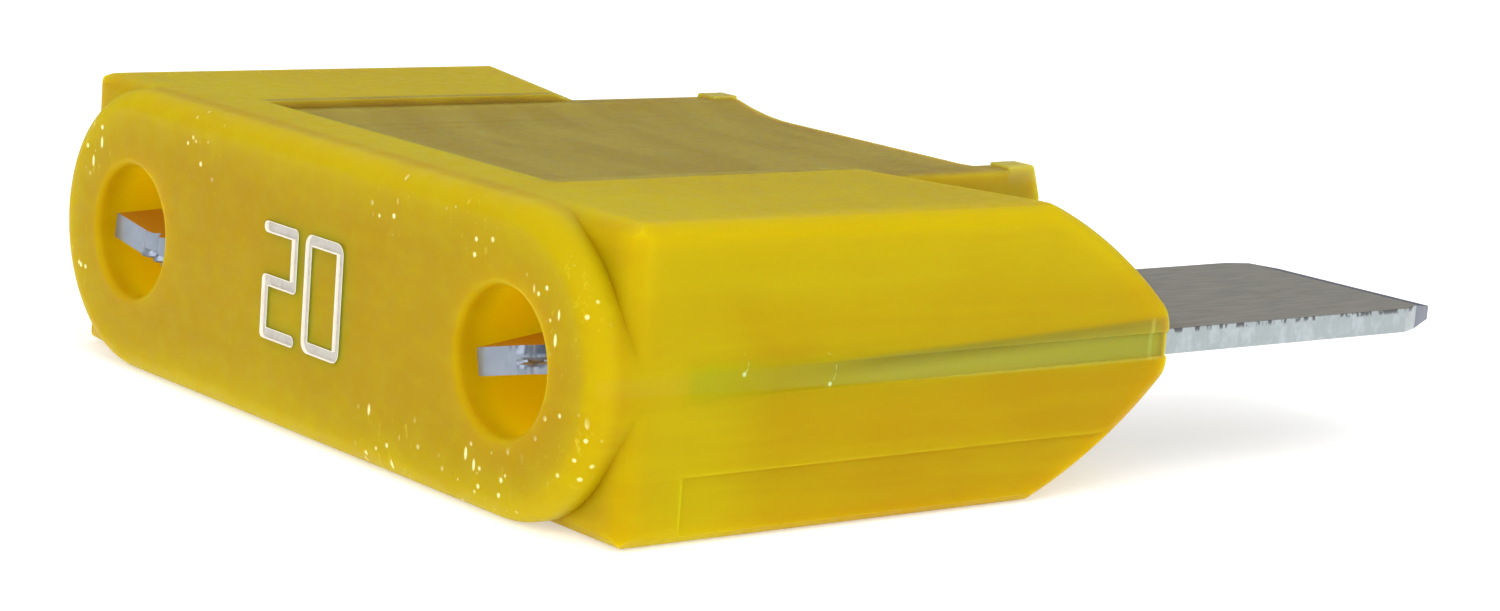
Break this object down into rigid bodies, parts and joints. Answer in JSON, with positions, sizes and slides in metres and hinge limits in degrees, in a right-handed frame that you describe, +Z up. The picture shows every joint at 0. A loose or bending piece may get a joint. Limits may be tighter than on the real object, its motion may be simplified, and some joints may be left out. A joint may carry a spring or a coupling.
{
  "type": "automotive blade fuse",
  "caption": "Large-frame automotive blade fuse with a translucent yellow moulded housing and a stamped zinc element whose blades stick out of one end.",
  "frame": {"origin": "centre of the bounding box in X and Y, on the surface the fuse lies on", "axes": "+X across the two blades, +Y along the blades towards their tips, +Z up through the thickness"},
  "size_m": [0.0292, 0.0342, 0.0089],
  "materials": {
    "yellow_nylon": "translucent moulded nylon, satin gloss",
    "zinc": "rolled zinc alloy, satin faces and bright sheared edges",
    "white_print": "pale lining of the engraved rating, cream walls and a light grey floor"
  },
  "bodies": {
    "root": {"housing": "yellow_nylon", "fuse_element": "zinc"}
  },
  "joints": []
}
